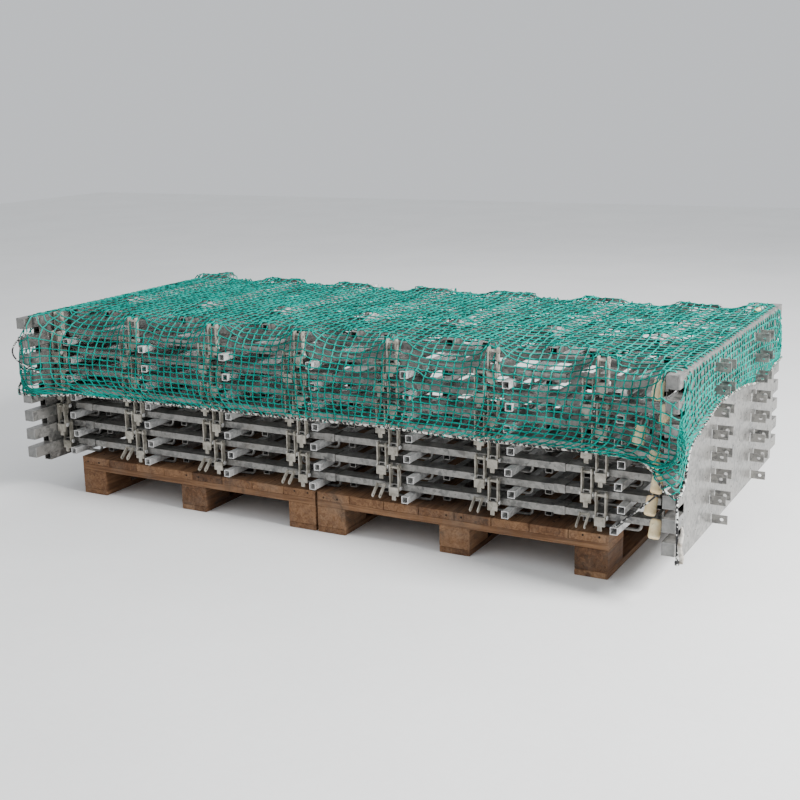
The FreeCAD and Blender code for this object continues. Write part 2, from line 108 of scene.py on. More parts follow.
# ---------------------------------------------------------------- material kit
class Paint:
    """A Principled material with short calls for the nodes that feed it."""

    def __init__(self, name, metallic=0.0, specular=0.5):
        self.material = bpy.data.materials.new(name)
        self.material.use_nodes = True
        self.tree = self.material.node_tree
        self.shader = self.tree.nodes["Principled BSDF"]
        self.shader.inputs["Metallic"].default_value = metallic
        self.shader.inputs["Specular IOR Level"].default_value = specular
        self.place = self.tree.nodes.new("ShaderNodeTexCoord").outputs["Object"]

    def link(self, source, socket):
        self.tree.links.new(source, socket)

    def scaled(self, scale):
        node = self.tree.nodes.new("ShaderNodeMapping")
        node.inputs["Scale"].default_value = scale
        self.link(self.place, node.inputs["Vector"])
        return node.outputs["Vector"]

    def noise(self, scale, detail=3.0, rough=0.55, place=None, warp=0.0):
        node = self.tree.nodes.new("ShaderNodeTexNoise")
        node.inputs["Scale"].default_value = scale
        node.inputs["Detail"].default_value = detail
        node.inputs["Roughness"].default_value = rough
        node.inputs["Distortion"].default_value = warp
        self.link(place or self.place, node.inputs["Vector"])
        return node.outputs["Fac"]

    def cells(self, scale, output="Color", place=None):
        node = self.tree.nodes.new("ShaderNodeTexVoronoi")
        node.inputs["Scale"].default_value = scale
        self.link(place or self.place, node.inputs["Vector"])
        return node.outputs[output]

    def math(self, kind, *items):
        node = self.tree.nodes.new("ShaderNodeMath")
        node.operation = kind
        for socket, item in zip(node.inputs, items):
            if isinstance(item, (int, float)):
                socket.default_value = item
            else:
                self.link(item, socket)
        return node.outputs[0]

    def span(self, value, low, high, out_low=0.0, out_high=1.0):
        node = self.tree.nodes.new("ShaderNodeMapRange")
        limits = {"From Min": low, "From Max": high, "To Min": out_low, "To Max": out_high}
        for name, number in limits.items():
            node.inputs[name].default_value = number
        self.link(value, node.inputs["Value"])
        return node.outputs["Result"]

    def ramp(self, value, stops):
        node = self.tree.nodes.new("ShaderNodeValToRGB")
        elements = node.color_ramp.elements
        while len(elements) < len(stops):
            elements.new(0.5)
        for element, (position, colour) in zip(elements, stops):
            element.position = position
            element.color = (*colour, 1)
        self.link(value, node.inputs["Fac"])
        return node.outputs["Color"]

    def mix(self, share, first, second):
        node = self.tree.nodes.new("ShaderNodeMix")
        node.data_type = "RGBA"
        sockets = (node.inputs["Factor"], node.inputs[6], node.inputs[7])
        for socket, item in zip(sockets, (share, first, second)):
            if isinstance(item, (int, float)):
                socket.default_value = item
            elif isinstance(item, tuple):
                socket.default_value = (*item, 1)
            else:
                self.link(item, socket)
        return node.outputs[2]

    def over(self, base, amount, share, colour):
        """Lay a colour over the base where amount is high, at most share of it."""
        return self.mix(self.math("MULTIPLY", amount, share), base, colour)

    def weighted(self, *pairs):
        """The sum of values, each times its weight."""
        total = None
        for value, weight in pairs:
            part = self.math("MULTIPLY", value, weight)
            total = part if total is None else self.math("ADD", total, part)
        return total

    def axes(self, vector):
        node = self.tree.nodes.new("ShaderNodeSeparateXYZ")
        self.link(vector, node.inputs[0])
        return node.outputs

    def random_of(self, value):
        node = self.tree.nodes.new("ShaderNodeTexWhiteNoise")
        node.noise_dimensions = "1D"
        self.link(value, node.inputs["W"])
        return node.outputs["Value"]

    def colour(self, output):
        self.link(output, self.shader.inputs["Base Color"])

    def roughness(self, output):
        self.link(output, self.shader.inputs["Roughness"])

    def bump(self, height, strength, distance):
        node = self.tree.nodes.new("ShaderNodeBump")
        node.inputs["Strength"].default_value = strength
        node.inputs["Distance"].default_value = distance
        self.link(height, node.inputs["Height"])
        self.link(node.outputs["Normal"], self.shader.inputs["Normal"])


def galvanised_steel(name, dark, light, white, metallic=0.55):
    """Dull hot-dip zinc: soft spangle, runs, white rust and a little brown dirt."""
    paint = Paint(name, metallic=metallic)
    spangle = paint.cells(95, place=paint.scaled((1, 0.8, 1)))
    grey = paint.axes(spangle)[0]
    mottle = paint.noise(13, 6, 0.65, warp=0.6)
    runs = paint.noise(4, 5, 0.7, place=paint.scaled((1.5, 1.5, 9)))
    tone = paint.weighted((grey, 0.22), (mottle, 0.58), (runs, 0.3))
    base = paint.ramp(tone, [(0.36, dark), (0.62, light)])
    bloom = paint.span(paint.noise(31, 7, 0.7), 0.56, 0.68)
    base = paint.over(base, bloom, 0.7, white)
    dirt = paint.span(paint.noise(7, 8, 0.75), 0.56, 0.72)
    base = paint.over(base, dirt, 0.55, (0.13, 0.105, 0.08))
    specks = paint.span(paint.noise(210, 2), 0.70, 0.76)
    base = paint.over(base, specks, 0.6, (0.20, 0.13, 0.08))
    paint.colour(base)
    paint.roughness(paint.span(paint.math("ADD", mottle, bloom), 0.3, 1.4, 0.33, 0.72))
    height = paint.math("ADD", paint.math("MULTIPLY", paint.noise(320, 2), 0.3), paint.noise(38, 4))
    paint.bump(height, 0.35, 0.002)
    return paint.material


def cream_zinc():
    """Pressed latches with chalky cream zinc and darker handling marks."""
    paint = Paint("cream_zinc", metallic=0.15)
    tone = paint.noise(28, 6, 0.65, warp=0.8)
    base = paint.ramp(tone, [(0.36, (0.19, 0.175, 0.145)), (0.52, (0.36, 0.335, 0.285)),
                             (0.7, (0.54, 0.51, 0.45))])
    scuff = paint.span(paint.noise(60, 5, 0.7, place=paint.scaled((1, 1, 0.25))), 0.58, 0.68)
    base = paint.over(base, scuff, 0.7, (0.17, 0.15, 0.125))
    paint.colour(base)
    paint.roughness(paint.span(tone, 0.3, 0.7, 0.42, 0.68))
    paint.bump(paint.noise(180, 3), 0.3, 0.001)
    return paint.material


def cap_plastic():
    """Pale grey moulded caps, weathered and finely pitted."""
    paint = Paint("cap_plastic")
    tone = paint.noise(40, 5, 0.6)
    base = paint.ramp(tone, [(0.35, (0.135, 0.135, 0.13)), (0.65, (0.225, 0.222, 0.212))])
    grime = paint.span(paint.noise(17, 6, 0.7), 0.54, 0.70)
    base = paint.over(base, grime, 0.6, (0.17, 0.155, 0.13))
    paint.colour(base)
    paint.roughness(paint.span(tone, 0.3, 0.7, 0.45, 0.7))
    paint.bump(paint.noise(420, 2), 0.25, 0.0008)
    return paint.material


def grip_plastic():
    """Aged cream grips, rubbed and a little orange at the open end."""
    paint = Paint("grip_plastic", specular=0.4)
    tone = paint.noise(45, 6, 0.65, warp=0.5)
    base = paint.ramp(tone, [(0.34, (0.78, 0.62, 0.34)), (0.62, (0.95, 0.84, 0.58))])
    warm = paint.span(paint.noise(18, 4, 0.6), 0.42, 0.66)
    base = paint.over(base, warm, 0.55, (0.84, 0.55, 0.24))
    grime = paint.span(paint.noise(34, 7, 0.75), 0.60, 0.70)
    base = paint.over(base, grime, 0.6, (0.25, 0.16, 0.09))
    paint.colour(base)
    paint.roughness(paint.span(tone, 0.3, 0.7, 0.4, 0.65))
    paint.bump(paint.noise(260, 3), 0.3, 0.001)
    return paint.material


def weathered_wood(name, along, board_axis, board_step, board_start):
    """Sawn pallet wood: grain along one axis, its own tint for every board, grime and small splits."""
    paint = Paint(name, specular=0.25)
    stretch = [70.0, 70.0, 70.0]
    stretch[along] = 3.2
    grain_place = paint.scaled(tuple(stretch))
    run = paint.math("SUBTRACT", paint.axes(paint.place)[board_axis], board_start)
    board = paint.math("FLOOR", paint.math("DIVIDE", run, board_step))
    tint = paint.random_of(board)
    grain = paint.noise(1.0, 6, 0.6, place=grain_place, warp=1.2)
    fine = paint.noise(4.0, 3, 0.6, place=grain_place)
    patches = paint.noise(5, 5, 0.6)
    tone = paint.weighted((grain, 0.55), (fine, 0.2), (patches, 0.25))
    tone = paint.math("ADD", tone, paint.span(tint, 0, 1, -0.1, 0.1))
    base = paint.ramp(tone, [(0.30, (0.042, 0.020, 0.010)), (0.46, (0.120, 0.058, 0.028)),
                             (0.58, (0.205, 0.108, 0.054)), (0.74, (0.32, 0.19, 0.105))])
    grey = paint.span(paint.noise(9, 6, 0.7), 0.45, 0.65)
    base = paint.over(base, grey, 0.25, (0.20, 0.165, 0.13))
    stain = paint.span(paint.noise(6.5, 7, 0.72, warp=0.7), 0.56, 0.66)
    base = paint.over(base, stain, 0.6, (0.05, 0.042, 0.036))
    knots = paint.span(paint.cells(7.5, "Distance", place=paint.scaled((1, 1, 1))), 0.05, 0.10, 1, 0)
    base = paint.over(base, knots, 0.7, (0.05, 0.03, 0.02))
    paint.colour(base)
    paint.roughness(paint.span(tone, 0.3, 0.7, 0.72, 0.92))
    height = paint.math("ADD", grain, paint.math("MULTIPLY", fine, 0.5))
    paint.bump(height, 0.7, 0.004)
    return paint.material


def twine():
    """Teal polypropylene twine with a twisted, slightly faded surface."""
    paint = Paint("net_twine", specular=0.12)
    tone = paint.noise(11, 5, 0.6)
    base = paint.ramp(tone, [(0.32, (0.0, 0.12, 0.095)), (0.5, (0.0, 0.205, 0.165)),
                             (0.7, (0.0, 0.31, 0.25))])
    fade = paint.span(paint.noise(160, 3, 0.6), 0.58, 0.74)
    base = paint.over(base, fade, 0.3, (0.0, 0.42, 0.34))
    paint.colour(base)
    paint.roughness(paint.span(tone, 0.3, 0.7, 0.62, 0.80))
    paint.bump(paint.noise(900, 2, place=paint.scaled((1, 0.6, 0.6))), 0.5, 0.0008)
    return paint.material


def flecked_cord(name, pitch):
    """Black braided elastic with white flecks; pitch is the braid's repeat along the cord's own length."""
    paint = Paint(name, specular=0.3)
    braid = paint.cells(1.0 / pitch, "Color")
    fleck = paint.span(paint.axes(braid)[1], 0.68, 0.72)
    weave = paint.noise(700, 2)
    base = paint.mix(fleck, (0.018, 0.018, 0.02), (0.72, 0.72, 0.68))
    base = paint.mix(paint.span(weave, 0.3, 0.8, 0.0, 0.35), base, (0.05, 0.045, 0.04))
    paint.colour(base)
    paint.roughness(paint.span(weave, 0.3, 0.7, 0.6, 0.85))
    paint.bump(weave, 0.5, 0.001)
    return paint.material


def pale_thread():
    """Off-white thread, soiled here and there."""
    paint = Paint("pale_thread", specular=0.2)
    soil = paint.noise(55, 4, 0.6)
    paint.colour(paint.ramp(soil, [(0.40, (0.62, 0.59, 0.54)), (0.62, (0.27, 0.24, 0.20))]))
    paint.roughness(paint.span(soil, 0.3, 0.7, 0.7, 0.9))
    paint.bump(paint.noise(1200, 2), 0.4, 0.0006)
    return paint.material


def hole_shade_and_rust():
    """Painted shade for the insides of small holes, and rusty nail heads."""
    paint = Paint("hole_shade_and_rust", specular=0.2)
    # Near-black to rust brown: painted shade in the holes, real rust on the nail heads.
    rust = paint.noise(90, 3, 0.6)
    paint.colour(paint.ramp(rust, [(0.45, (0.016, 0.014, 0.012)), (0.65, (0.055, 0.034, 0.022))]))
    paint.roughness(paint.span(rust, 0.3, 0.7, 0.8, 0.95))
    return paint.material


def floor_concrete():
    """Pale, almost even floor."""
    paint = Paint("floor_concrete", specular=0.3)
    tone = paint.noise(1.3, 8, 0.65)
    fine = paint.noise(40, 6, 0.7)
    share = paint.weighted((tone, 0.7), (fine, 0.3))
    paint.colour(paint.ramp(share, [(0.35, (0.86, 0.86, 0.85)), (0.65, (0.92, 0.92, 0.91))]))
    paint.roughness(paint.span(fine, 0.3, 0.7, 0.75, 0.95))
    paint.bump(fine, 0.2, 0.002)
    return paint.material


PAINTS = {
    "galvanised": galvanised_steel(
        "galvanised", (0.085, 0.085, 0.084), (0.25, 0.243, 0.228), (0.42, 0.405, 0.38)),
    "bright_zinc": galvanised_steel(
        "bright_zinc", (0.40, 0.40, 0.395), (0.72, 0.715, 0.70), (0.80, 0.79, 0.77), 0.4),
    "cream_zinc": cream_zinc(),
    "cap_plastic": cap_plastic(),
    "grip_plastic": grip_plastic(),
    "deck_wood": weathered_wood("deck_wood", 1, 0, BOARD_STEP, PALLET_LEFTS[0]),
    "stringer_wood": weathered_wood("stringer_wood", 0, 1, 0.145, PALLET_FRONT),
    "block_wood": weathered_wood("block_wood", 1, 0, BLOCK_STEP, -1.2),
    "net_twine": twine(),
    "elastic_cord": flecked_cord("elastic_cord", 0.008),
    "pale_thread": pale_thread(),
    "hole_shade_and_rust": hole_shade_and_rust(),
    "floor_concrete": floor_concrete(),
}


# ---------------------------------------------------------------- mesh kit
def add_mesh(name, vertices, faces, paints, slots=None, smooth=False):
    """A new object from vertices and faces; slots gives each face's place in paints."""
    mesh = bpy.data.meshes.new(name)
    mesh.from_pydata([tuple(v) for v in vertices], [], [tuple(f) for f in faces])
    for paint in paints:
        mesh.materials.append(PAINTS[paint])
    if slots is not None:
        mesh.polygons.foreach_set("material_index", slots)
    if smooth:
        mesh.shade_smooth()
    mesh.update()
    item = bpy.data.objects.new(name, mesh)
    bpy.context.scene.collection.objects.link(item)
    return item


class Pile:
    """Collects small shapes into one mesh."""

    def __init__(self):
        self.vertices = []
        self.faces = []
        self.slots = []

    def add(self, vertices, faces, slot=0):
        start = len(self.vertices)
        self.vertices.extend(Vector(v) for v in vertices)
        self.faces.extend([tuple(start + index for index in face) for face in faces])
        self.slots.extend([slot] * len(faces))

    def lathe(self, profile, matrix, sides=24, slot=0):
        """Turn (radius, height) pairs round local Z; ends close where the radius is zero."""
        vertices = []
        faces = []
        for radius, height in profile:
            for side in range(sides):
                angle = 2 * math.pi * side / sides
                vertices.append(matrix @ Vector((radius * math.cos(angle), radius * math.sin(angle), height)))
        for ring in range(len(profile) - 1):
            for side in range(sides):
                low = ring * sides
                turn = (side + 1) % sides
                faces.append((low + side, low + turn, low + sides + turn, low + sides + side))
        faces.append(tuple(reversed(range(sides))))
        faces.append(tuple(range((len(profile) - 1) * sides, len(profile) * sides)))
        self.add(vertices, faces, slot)

    def brick(self, low, high, chamfer):
        """A box with chamfered edges."""
        shape = bmesh.new()
        bmesh.ops.create_cube(shape, size=1)
        low, high = Vector(low), Vector(high)
        for vertex in shape.verts:
            vertex.co = Vector([low[a] + (vertex.co[a] + 0.5) * (high[a] - low[a]) for a in range(3)])
        bmesh.ops.bevel(shape, geom=shape.edges[:], offset=chamfer, segments=2, affect="EDGES", profile=0.6)
        shape.verts.ensure_lookup_table()
        self.add([v.co for v in shape.verts], [[v.index for v in f.verts] for f in shape.faces])
        shape.free()

    def build(self, name, paints, smooth=False):
        return add_mesh(name, self.vertices, self.faces, paints, self.slots, smooth)


def towards(direction, spin=0.0):
    """A rotation that takes local Z to a direction."""
    return Vector(direction).to_track_quat("Z", "Y").to_matrix().to_4x4() @ Matrix.Rotation(spin, 4, "Z")


# ---------------------------------------------------------------- free cords
CORD_Y = -0.6675
LOOP_RADIUS = 0.003
TAIL_RADIUS = 0.004
KNOT_PLACE = (1.252, CORD_Y, 0.142)
KNOT_PROFILE = [(0.0030, 0.0), (0.0064, 0.0018), (0.0078, 0.0052), (0.0060, 0.0080), (0.0076, 0.0108),
                (0.0062, 0.0142), (0.0035, 0.0160)]
STRIP_TOP = 0.262
STRIP_LENGTH = 0.112
STRIP_ROWS = 14


def free_cord(node, points, radius, **facts):
    """A cord on one open NURBS spline with the CAD route's points."""
    data = bpy.data.curves.new(node + "_cord", "CURVE")
    data.dimensions = "3D"
    data.bevel_depth = radius
    data.bevel_resolution = 3
    data.resolution_u = 16
    data.use_fill_caps = True
    spline = data.splines.new("NURBS")
    spline.points.add(len(points) - 1)
    for point, place in zip(spline.points, points):
        point.co = (*place, 1)
    spline.order_u = 3
    spline.use_endpoint_u = True
    data.materials.append(PAINTS["elastic_cord"])
    item = bpy.data.objects.new(node + "_cord", data)
    bpy.context.scene.collection.objects.link(item)
    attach(item, "net")
    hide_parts(node)


free_cord("slack_loop", [(-1.171, CORD_Y, 0.643), (-1.258, CORD_Y, 0.600), (-1.258, CORD_Y, 0.528),
                         (-1.135, CORD_Y, 0.497)], LOOP_RADIUS, length=0.26, far_end="object", lay="hanging")
free_cord("hook_tie", [(1.186, -0.674, 0.342), (1.104, -0.616, 0.258), (1.022, -0.546, 0.184)], LOOP_RADIUS,
          length=0.26, far_end="object", lay="taut")


def tail_pieces():
    """The knot at the end of the hem's tail and the pale strip of cloth tied in with it."""
    x, y, _ = KNOT_PLACE
    knot = Pile()
    knot.lathe(KNOT_PROFILE, Matrix.Translation(KNOT_PLACE), 16)
    knot = knot.build("tail_knot_end", ["elastic_cord"], True)
    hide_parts("tail_knot")
    strip = Pile()
    rim = []
    for row in range(STRIP_ROWS + 1):
        share = row / STRIP_ROWS
        height = STRIP_TOP - STRIP_LENGTH * share
        wide = 0.0065 * min(1.0, 0.35 + 2.2 * share)
        sway = 0.0025 * math.sin(share * 9)
        for across in (-1, 0, 1):
            depth = y - 0.0020 - 0.0022 * (across == 0) + sway
            rim.append((x + 0.0105 + sway + across * wide, depth, height))
    corners = [row * 3 + column for row in range(STRIP_ROWS) for column in range(2)]
    strip.add(rim, [(corner, corner + 1, corner + 4, corner + 3) for corner in corners])
    strip = strip.build("tail_strip", ["pale_thread"], True)
    thicken = strip.modifiers.new("thickness", "SOLIDIFY")
    thicken.thickness = 0.0012
    for piece in (knot, strip):
        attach(piece, "net")
    return [knot, strip]


free_cord("hem_tail", [(1.246, CORD_Y, 0.338), (1.249, CORD_Y, 0.264), (1.251, CORD_Y, 0.205),
                       (1.252, CORD_Y, 0.158)], TAIL_RADIUS, length=0.18, far_end="knot", lay="hanging",
          with_pieces=tail_pieces())


# ---------------------------------------------------------------- stage
FLOOR_HALF = 12
LOAD_MIDDLE = Vector((0, 0, 0.4))
# Name, place, size and power of each soft light.
LIGHTS = (
    ("key", (4.8, -0.6, 3.3), 1.6, 640),
    ("fill", (-2.6, -4.6, 3.4), 4.0, 45),
    ("back", (-0.5, 4.6, 4.6), 3.0, 100),
)


def make_stage():
    """The floor, an even pale sky and the lights, all turned to the middle of the load."""
    corners = [(-1, -1), (1, -1), (1, 1), (-1, 1)]
    floor = add_mesh("floor", [(x * FLOOR_HALF, y * FLOOR_HALF, 0) for x, y in corners], [(0, 1, 2, 3)],
                     ["floor_concrete"])
    world = bpy.data.worlds.new("studio")
    world.use_nodes = True
    background = world.node_tree.nodes["Background"]
    background.inputs["Color"].default_value = (0.93, 0.96, 1.0, 1)
    background.inputs["Strength"].default_value = 0.8
    bpy.context.scene.world = world
    for name, place, size, power in LIGHTS:
        data = bpy.data.lights.new(name, "AREA")
        data.size = size
        data.energy = power
        lamp = bpy.data.objects.new(name, data)
        lamp.location = place
        lamp.rotation_mode = "QUATERNION"
        lamp.rotation_quaternion = (LOAD_MIDDLE - Vector(place)).to_track_quat("-Z", "Y")
        bpy.context.scene.collection.objects.link(lamp)


make_stage()


# ---------------------------------------------------------------- carried-over CAD nodes
NODE_PAINTS = {
    "pallet_deck_boards": "deck_wood",
    "pallet_stringer_boards": "stringer_wood",
    "pallet_blocks": "block_wood",
    "pallet_bottom_boards": "deck_wood",
}


def node_paint(name):
    """The material of a node, by what it is."""
    if name in NODE_PAINTS:
        return NODE_PAINTS[name]
    if "neck_bar" in name:
        return "bright_zinc"
    if "latch" in name:
        return "cream_zinc"
    if "cap" in name or "plastics" in name:
        return "cap_plastic"
    if "grip" in name:
        return "grip_plastic"
    if name in ("hem_cord", "slack_loop", "hook_tie", "hem_tail", "tail_knot"):
        return "elastic_cord"
    if name == "load_net":
        return "net_twine"
    return "galvanised"


def paint_nodes():
    """Give every node its detailed material."""
    for name, item in NODES.items():
        for slot in item.material_slots:
            slot.material = PAINTS[node_paint(name)]


def soften_edges():
    """Rounded edges on the square tubes and worn arrises on the boards."""
    for name, item in NODES.items():
        if name.startswith("pallet_"):
            width = 0.003
        elif name.endswith("_frame") or "neck_bar" in name:
            width = 0.0022
        else:
            continue
        weld = item.modifiers.new("weld", "WELD")
        weld.merge_threshold = 0.00002
        bevel = item.modifiers.new("bevel", "BEVEL")
        bevel.width = width
        bevel.segments = 2
        bevel.limit_method = "ANGLE"
        bevel.angle_limit = math.radians(50)
        bevel.harden_normals = True


paint_nodes()
soften_edges()


# ---------------------------------------------------------------- caps and grips
CAP_FACE = 0.005
CAP_BORDER = 0.0025
GRIP_LEAN = math.radians(30)
GRIP_TOP_Y = 0.539
GRIP_TOP_Z = 0.095876
TURNED_GRIP_DROP = 0.026
# (radius, distance) pairs along the barrel, from the arm's end to inside the open end.
GRIP_PROFILE = [(0.0070, 0.0), (0.0120, 0.0004), (0.0152, 0.0020), (0.0168, 0.0050), (0.0174, 0.0120),
                (0.0176, 0.0300), (0.0179, 0.0440), (0.0180, 0.0505), (0.0172, 0.0548), (0.0150, 0.0574),
                (0.0118, 0.0580), (0.0098, 0.0572), (0.0088, 0.0500)]


def add_cap(pile, x, side, base):
    """A pressed-in end cap: face with rounded rim, raised border and small ejector dots."""
    face_y = side * (POST_END + CAP_FACE)
    inner = side * POST_END
    low_y, high_y = min(face_y, inner), max(face_y, inner)
    middle = base + POST_MIDDLE_Z
    gap = 0.0006
    pile.brick((x - POST_HALF, low_y + gap * (side > 0), middle - POST_HALF),
               (x + POST_HALF, high_y - gap * (side < 0), middle + POST_HALF), 0.0016)
    edge = 0.0155
    strip = CAP_BORDER
    sunk, proud = face_y - side * 0.0015, face_y + side * 0.0003
    for low, high in (((-edge, -edge), (edge, -edge + strip)), ((-edge, edge - strip), (edge, edge)),
                      ((-edge, -edge), (-edge + strip, edge)), ((edge - strip, -edge), (edge, edge))):
        pile.brick((x + low[0], min(sunk, proud), middle + low[1]),
                   (x + high[0], max(sunk, proud), middle + high[1]), 0.0003)
    for dot_x, dot_z in ((-0.008, 0.008), (0.009, 0.006), (0.0, -0.009)):
        spot = Matrix.Translation((x + dot_x, face_y - side * 0.001, middle + dot_z)) @ towards((0, side, 0))
        pile.lathe([(0.0024, 0.0), (0.0024, 0.0011), (0.0016, 0.0014)], spot, 10)


def add_grip(pile, x, base, turned):
    """A barrel-shaped hand grip on the bent arm, with rounded ends and a hollow lower end."""
    side = -1 if turned else 1
    lift = -TURNED_GRIP_DROP if turned else 0.0
    start = Vector((x, -side * GRIP_TOP_Y, base + GRIP_TOP_Z + lift))
    axis = Vector((0, -side * math.sin(GRIP_LEAN), -math.cos(GRIP_LEAN)))
    pile.lathe(GRIP_PROFILE, Matrix.Translation(start) @ towards(axis), 32, 1)


def make_plastics():
    """Caps and grip of every layer; the moving layer's grip slides with its control bar."""
    for layer in range(1, LAYERS + 1):
        base = layer_base(layer)
        cap_pile = Pile()
        for x in (-POST_X, POST_X):
            for side in (-1, 1):
                add_cap(cap_pile, x, side, base)
        grip_pile = cap_pile if layer != MOVING_LAYER else Pile()
        add_grip(grip_pile, GRIP_X[layer - 1], base, layer == TURNED_LAYER)
        if layer == MOVING_LAYER:
            grip = grip_pile.build("grip_moving", ["cap_plastic", "grip_plastic"], True)
            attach(grip, "panel_3_control")
            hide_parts("panel_3_grip")
            caps = cap_pile.build("caps_%d" % layer, ["cap_plastic"])
            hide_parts("panel_3_end_caps")
        else:
            caps = cap_pile.build("caps_%d" % layer, ["cap_plastic", "grip_plastic"])
            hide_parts("panel_%d_plastics" % layer)
        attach(caps, body_of_layer(layer))


make_plastics()


# ---------------------------------------------------------------- small fittings
LATCH_Y = -0.500
LATCH_Z = 0.063
LATCH_LEFT = 0.064
LATCH_FAR_LEFT = 0.110
FIRST_LATCH_FORWARD = 0.0225
NUT_OFFSET = 0.0178
PANEL_HEIGHT = 0.100
EAR_Y = 0.257
EAR_OFFSET = 0.030
LINK_Y = -0.5035
LINK_THICKNESS = 0.003
PIT_STEP = 0.085
NAIL_STEP = 0.1306
# (radius, height) pairs of a nut and of a nail head, and the (side, length) outline of a link.
NUT = [(0.0040, 0.0), (0.0068, 0.0002), (0.0076, 0.0010), (0.0076, 0.0040), (0.0066, 0.0050),
       (0.0040, 0.0050)]
NAIL = [(0.0036, 0.0), (0.0036, 0.0006), (0.0022, 0.0009)]
LONG_NAIL = [(0.0036, 0.0), (0.0036, 0.0008), (0.0022, 0.0011)]
LINK = [(-0.0075, 0.0), (-0.0075, 0.046), (-0.0045, 0.052), (0.0045, 0.052), (0.0075, 0.046),
        (0.0075, 0.0)]


def latch_spots(layer):
    """Pivot of every latch of one layer."""
    spots = []
    for place in range(1, PLACES + 1):
        first = place == 1
        x = place_x(place) - (LATCH_LEFT if layer % 2 or first else LATCH_FAR_LEFT)
        y = LATCH_Y - (FIRST_LATCH_FORWARD if first and not layer % 2 else 0)
        z = layer_base(layer) + LATCH_Z
        if layer == TURNED_LAYER:
            y, z = -y, layer_base(layer) + PANEL_HEIGHT - LATCH_Z
        spots.append(Vector((x, y, z)))
    return spots


def add_weld(pile, x, y, side, base):
    """Two rough fillets where an ear meets the post."""
    for across in (-1, 1):
        for bead in range(5):
            low = base + 0.0105 + bead * 0.0055
            pile.brick((min(x, x + side * 0.0032), y + across * 0.0036 - 0.0013, low),
                       (max(x, x + side * 0.0032), y + across * 0.0036 + 0.0013, low + 0.0064), 0.0008)


def add_links(pile, pivot):
    """A second pair of cheeks, folded forward over the front rail."""
    for across in (-0.0665, -0.0395):
        top = Vector((pivot.x + across, LINK_Y, pivot.z + 0.007))
        axis = Vector((0, -0.042, -0.036)).normalized()
        flat = Vector((0, 0.65, -0.76)).normalized()
        for thick in (0.0, LINK_THICKNESS):
            outline = [top + Vector((thick, 0, 0)) + axis * run + flat * wide for wide, run in LINK]
            pile.add(outline, [tuple(range(6)) if thick else tuple(reversed(range(6)))], 1)
        near = len(pile.vertices) - 12
        rims = [(near + n, near + (n + 1) % 6, near + 6 + (n + 1) % 6, near + 6 + n) for n in range(6)]
        pile.faces.extend(rims)
        pile.slots.extend([1] * 6)
        # A near-black plug where the link's hole is: painted shade.
        hole = Matrix.Translation(top + axis * 0.044 + Vector((-0.0003, 0, 0))) @ towards((1, 0, 0))
        pile.lathe([(0.0026, 0.0), (0.0026, 0.0036)], hole, 10, 2)
    pin = Matrix.Translation((pivot.x - 0.070, LINK_Y, pivot.z + 0.005)) @ towards((1, 0, 0))
    pile.lathe([(0.0030, 0.0), (0.0036, 0.0010), (0.0036, 0.0350), (0.0030, 0.0360)], pin, 10, 1)


def add_pits(pile, face, side, base, rng):
    """Small dark discs along the outer face of a post: painted shade of small holes."""
    for y in np.arange(-0.60, 0.61, PIT_STEP):
        height = base + POST_MIDDLE_Z + rng.uniform(-0.009, 0.009)
        spot = Matrix.Translation((face - side * 0.0002, y + rng.uniform(-0.02, 0.02), height))
        pile.lathe([(0.0022, 0.0), (0.0022, 0.0005)], spot @ towards((side, 0, 0)), 10, 2)


def make_fittings():
    """Every layer's nuts, welds and pits, and the folded links of the lowest layer."""
    rng = np.random.default_rng(5)
    for layer in range(1, LAYERS + 1):
        pile = Pile()
        base = layer_base(layer)
        for number, pivot in enumerate(latch_spots(layer)):
            for side in (-1, 1):
                spot = Matrix.Translation(pivot + Vector((side * NUT_OFFSET, 0, 0)))
                pile.lathe(NUT, spot @ towards((side, 0, 0), 0.3 * number), 6)
            if layer == 1:
                add_links(pile, pivot)
        offsets = (0,) if layer == 1 else (-EAR_OFFSET, EAR_OFFSET)
        for side in (-1, 1):
            face = side * (POST_X + POST_HALF)
            for end in (-1, 1):
                for offset in offsets:
                    add_weld(pile, face, end * EAR_Y + offset, side, base)
            add_pits(pile, face, side, base, rng)
        fittings = pile.build("fittings_%d" % layer, ["bright_zinc", "cream_zinc", "hole_shade_and_rust"])
        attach(fittings, body_of_layer(layer))


def make_nails():
    """Nail heads in the front and back faces of the pallet blocks and on the deck over each stringer."""
    pile = Pile()
    for left in PALLET_LEFTS:
        for block in range(3):
            middle = left + 0.055 + block * BLOCK_STEP
            for across in (-0.028, 0.026):
                for y, side in ((PALLET_FRONT, -1), (PALLET_FRONT + PALLET_DEPTH, 1)):
                    spot = Matrix.Translation((middle + across, y - side * 0.0003, 0.126 + 0.004 * block))
                    pile.lathe(LONG_NAIL, spot @ towards((0, side, 0)), 10)
        for board in range(8):
            for depth in (0.05, 0.095, 0.59, 1.09, 1.13):
                spot = Matrix.Translation((left + 0.065 + board * NAIL_STEP, PALLET_FRONT + depth, 0.1438))
                pile.lathe(NAIL, spot, 10)
    nails = pile.build("pallet_nails", ["hole_shade_and_rust"])
    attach(nails, "pallets")


make_fittings()
make_nails()


# ---------------------------------------------------------------- the net
NET_COLUMNS = 100
NET_ROWS = 58
TWINE_RADIUS = 0.0026
KNOT_RADIUS = 0.0042
HEM_RADIUS = 0.0038
THREAD_RADIUS = 0.0008
THREAD_PITCH = 0.016
THREAD_STEPS = 7
# Gaps that the knots and the twine keep to the load, and how much a node sinks at each step.
KNOT_GAP = 0.0035
TWINE_GAP = 0.003
SINK = 0.00022
# The first shape: a flat top at this height that turns down at these walls, and the net's half spread.
START_Z = 0.730
WALL_X = 1.262
WALL_Y = 0.668
SPREAD_X = 1.490
SPREAD_Y = 0.940
